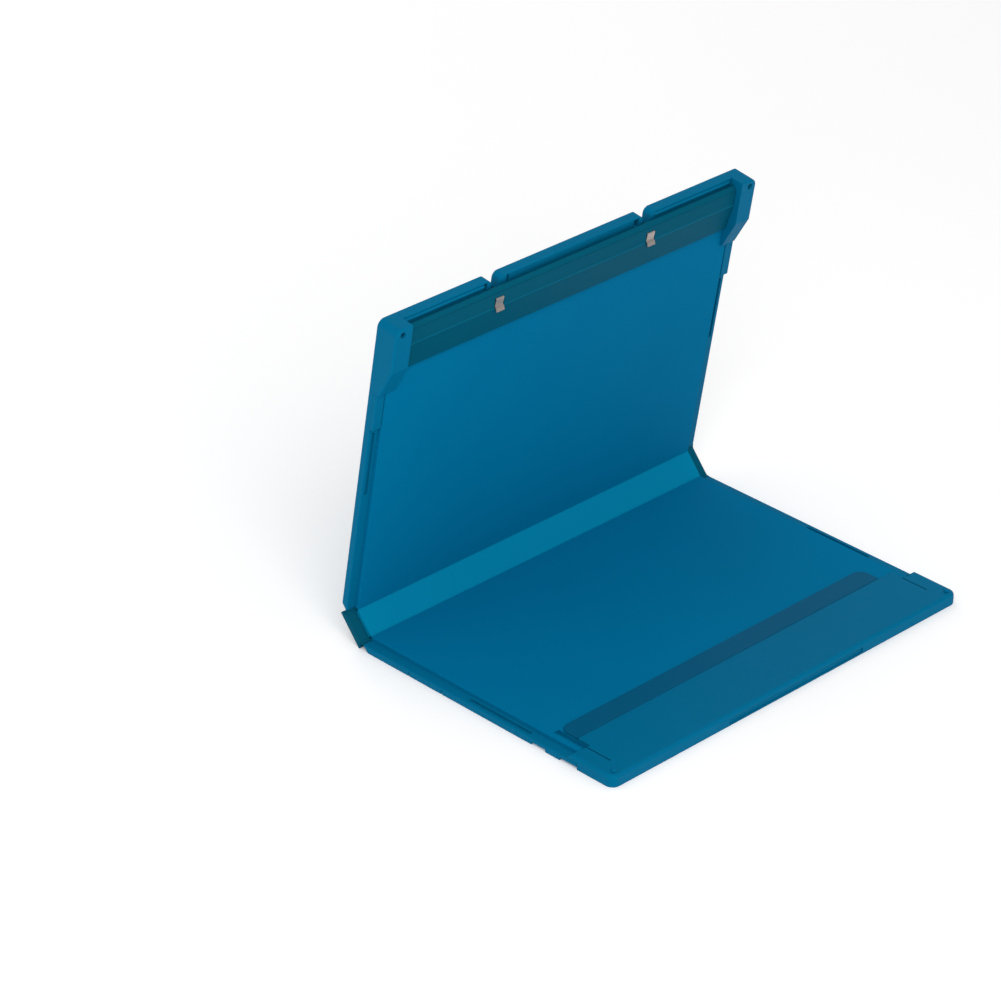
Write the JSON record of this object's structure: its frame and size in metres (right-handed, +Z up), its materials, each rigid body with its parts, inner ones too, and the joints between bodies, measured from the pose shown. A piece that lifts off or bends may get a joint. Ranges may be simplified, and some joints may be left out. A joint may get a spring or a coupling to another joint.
{
  "type": "folding clip file",
  "caption": "Folding clipboard for A4 sheets: ribbed base and cover leaves on a creased spine, with a sprung clip bar across the cover and a retainer flap on the base.",
  "frame": {"origin": "centre of the base leaf's underside, on the desk", "axes": "+X along the spine, +Z up, the spine at the +Y side of the base leaf and its free edge towards -Y"},
  "size_m": [0.328, 0.2438, 0.2439],
  "materials": {
    "tray_plastic": "fine moulded matte, mid teal-blue",
    "board_plastic": "smooth matte sheet, teal-blue",
    "spine_plastic": "smooth matte sheet, teal-blue",
    "bar_plastic": "extruded satin, dark teal",
    "flap_plastic": "smooth satin, dark teal",
    "spring_steel": "bright rolled strip",
    "pin_steel": "drawn wire",
    "grip_rubber": "soft matte"
  },
  "bodies": {
    "base": {"base_tray": "tray_plastic", "base_board": "board_plastic", "base_front_head": "tray_plastic", "closure_stud_left": "tray_plastic", "closure_stud_right": "tray_plastic", "flap_crease": "flap_plastic"},
    "flap": {"retainer_flap": "flap_plastic"},
    "spine": {"spine_bar": "bar_plastic", "spine_board": "spine_plastic", "base_crease": "spine_plastic", "cover_crease": "spine_plastic", "base_hinge_film": "bar_plastic", "cover_hinge_film": "bar_plastic"},
    "cover": {"cover_tray": "tray_plastic", "cover_board": "board_plastic", "end_cap_left": "tray_plastic", "end_cap_right": "tray_plastic", "side_pad_left": "tray_plastic", "side_pad_right": "tray_plastic", "tab_wall_left": "tray_plastic", "tab_wall_middle": "tray_plastic", "tab_wall_right": "tray_plastic", "clip_spring_left": "spring_steel", "clip_spring_right": "spring_steel", "spring_rivets": "pin_steel", "pivot_pin_left": "pin_steel", "pivot_pin_right": "pin_steel"},
    "clip": {"clip_bar": "bar_plastic", "grip_strip": "grip_rubber"}
  },
  "joints": [
    {"name": "base_hinge", "type": "hinge", "parent": "base", "child": "spine", "pos_m": [0, 0.112, 0.007], "axis": [1, 0, 0], "range_deg": [-49, 41], "deforming": ["base_crease", "base_hinge_film"]},
    {"name": "cover_hinge", "type": "hinge", "parent": "spine", "child": "cover", "pos_m": [0, 0.12447, 0.02134], "axis": [1, 0, 0], "range_deg": [-49.5, 42.41], "deforming": ["cover_crease", "cover_hinge_film"]},
    {"name": "clip_pivot", "type": "hinge", "parent": "cover", "child": "clip", "pos_m": [0, 0.08989, 0.23508], "axis": [-1, 0, 0], "range_deg": [0, 12], "stiffness_Nm_per_rad": 0.6, "springref_deg": -28.65, "deforming": ["clip_spring_left", "clip_spring_right"]},
    {"name": "flap_fold", "type": "hinge", "parent": "base", "child": "flap", "pos_m": [0, -0.0655, 0.00785], "axis": [1, 0, 0], "range_deg": [0, 35], "deforming": ["flap_crease"]}
  ]
}
